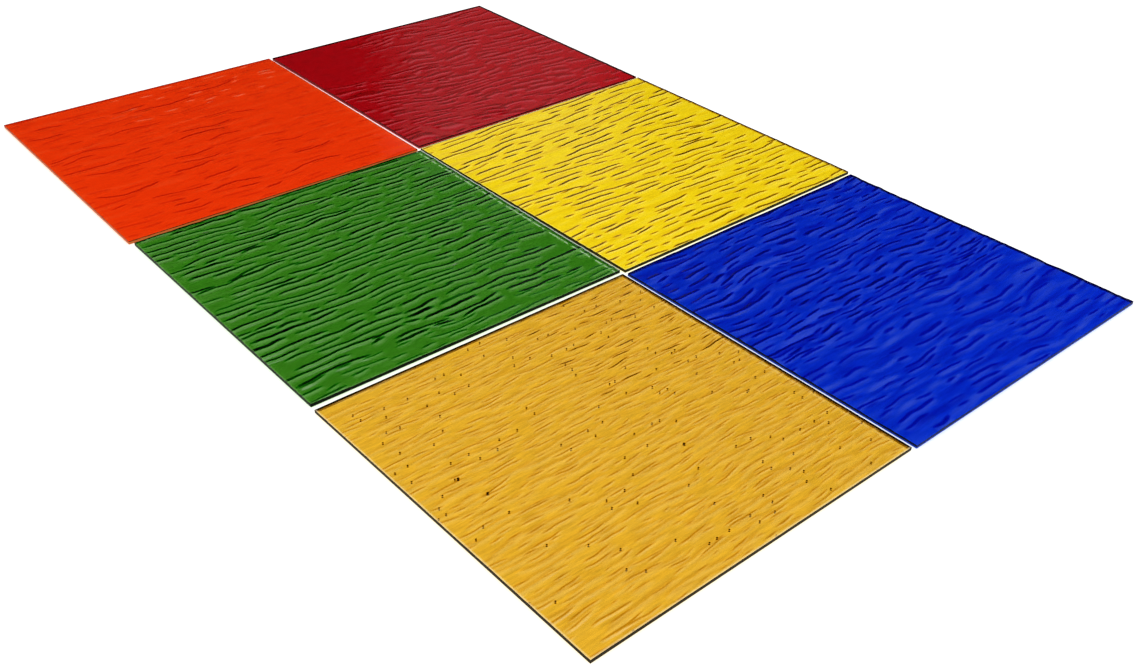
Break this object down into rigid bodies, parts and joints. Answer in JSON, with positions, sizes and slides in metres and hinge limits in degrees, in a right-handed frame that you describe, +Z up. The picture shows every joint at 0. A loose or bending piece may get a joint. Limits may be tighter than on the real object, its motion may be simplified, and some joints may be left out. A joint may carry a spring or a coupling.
{
  "type": "stained glass sheet set",
  "caption": "Loose square sheets of rolled, rippled stained glass in orange, red, green, yellow, amber and blue, laid flat in a grid with narrow gaps.",
  "frame": {"origin": "middle of the layout, at the level of the undersides", "axes": "+X along the ripples and across the layout, +Y from the front row to the back row, +Z up from the bench"},
  "size_m": [0.6171, 0.9267, 0.0038],
  "materials": {
    "orange_glass": "fire-polished rolled ripple on top, smooth below, sharp cut edges",
    "red_glass": "fire-polished rolled ripple on top, smooth below, sharp cut edges",
    "green_glass": "fire-polished rolled ripple on top, smooth below, sharp cut edges",
    "yellow_glass": "fire-polished rolled ripple on top, smooth below, sharp cut edges",
    "amber_glass": "fire-polished rolled ripple on top, smooth below, sharp cut edges",
    "blue_glass": "fire-polished rolled ripple on top, smooth below, sharp cut edges"
  },
  "bodies": {
    "orange": {"orange_sheet": "orange_glass"},
    "red": {"red_sheet": "red_glass"},
    "green": {"green_sheet": "green_glass"},
    "yellow": {"yellow_sheet": "yellow_glass"},
    "amber": {"amber_sheet": "amber_glass"},
    "blue": {"blue_sheet": "blue_glass"}
  },
  "joints": [
    {"name": "orange_lift", "type": "slide", "parent": "green", "child": "orange", "axis": [0, 0, 1], "range_m": [0, 0.1]},
    {"name": "red_lift", "type": "slide", "parent": "green", "child": "red", "axis": [0, 0, 1], "range_m": [0, 0.1]},
    {"name": "yellow_lift", "type": "slide", "parent": "green", "child": "yellow", "axis": [0, 0, 1], "range_m": [0, 0.1]},
    {"name": "amber_lift", "type": "slide", "parent": "green", "child": "amber", "axis": [0, 0, 1], "range_m": [0, 0.1]},
    {"name": "blue_lift", "type": "slide", "parent": "green", "child": "blue", "axis": [0, 0, 1], "range_m": [0, 0.1]}
  ]
}
